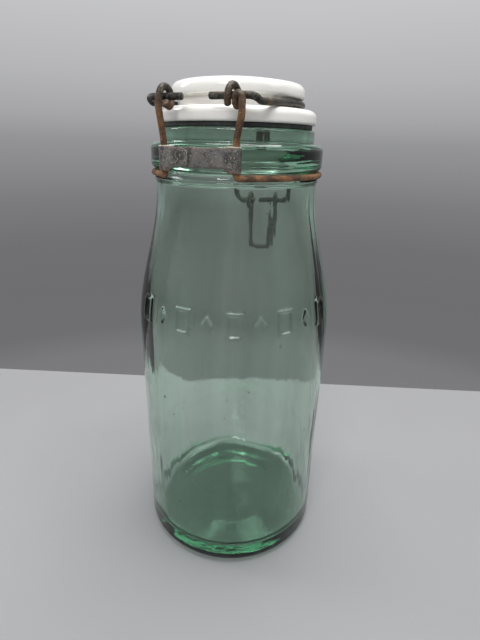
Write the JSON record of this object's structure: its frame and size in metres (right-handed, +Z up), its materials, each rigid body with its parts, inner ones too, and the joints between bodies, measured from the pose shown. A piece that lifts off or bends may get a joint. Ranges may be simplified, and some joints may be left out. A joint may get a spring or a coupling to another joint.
{
  "type": "lidded glass canister",
  "caption": "Tall green glass preserving jar with a hinged white glass lid, a rubber sealing ring and a wire bail latch with a finger loop.",
  "frame": {"origin": "centre of the jar's base, on the surface it stands on", "axes": "+Z up along the jar's axis; the lid hinges over +Y and the latch hangs at -Y, which is the front in use; +X is to the right seen from the latch side"},
  "size_m": [0.104, 0.104, 0.2497],
  "materials": {
    "green_glass": "glossy, seedy, pale blue-green pressed glass",
    "opal_glass": "glossy, opaque white opal glass",
    "seal_rubber": "dark, matt, hardened with age",
    "dark_wire": "dull dark grey galvanised wire, tarnished",
    "rusty_wire": "matt brown rusted wire",
    "zinc_sheet": "mottled grey zinc-coated sheet, rust spotted"
  },
  "bodies": {
    "jar": {"glass_jar": "green_glass", "collar_wire": "rusty_wire", "hinge_plate": "zinc_sheet"},
    "lid": {"lid": "opal_glass", "sealing_ring": "seal_rubber", "lid_wire": "dark_wire"},
    "latch_arms": {"latch_arm_left": "dark_wire", "latch_arm_right": "dark_wire"},
    "bail": {"finger_bail": "dark_wire"}
  },
  "joints": [
    {"name": "lid_hinge", "type": "hinge", "parent": "jar", "child": "lid", "pos_m": [0, 0.0405, 0.24005], "axis": [-1, 0, 0], "range_deg": [0, 222]},
    {"name": "latch_arm_hinge", "type": "hinge", "parent": "jar", "child": "latch_arms", "pos_m": [0, -0.04303, 0.21015], "axis": [-1, 0, 0], "range_deg": [0, 90]},
    {"name": "bail_hinge", "type": "hinge", "parent": "latch_arms", "child": "bail", "pos_m": [0, -0.04621, 0.19315], "axis": [-1, 0, 0], "range_deg": [0, 90]}
  ]
}
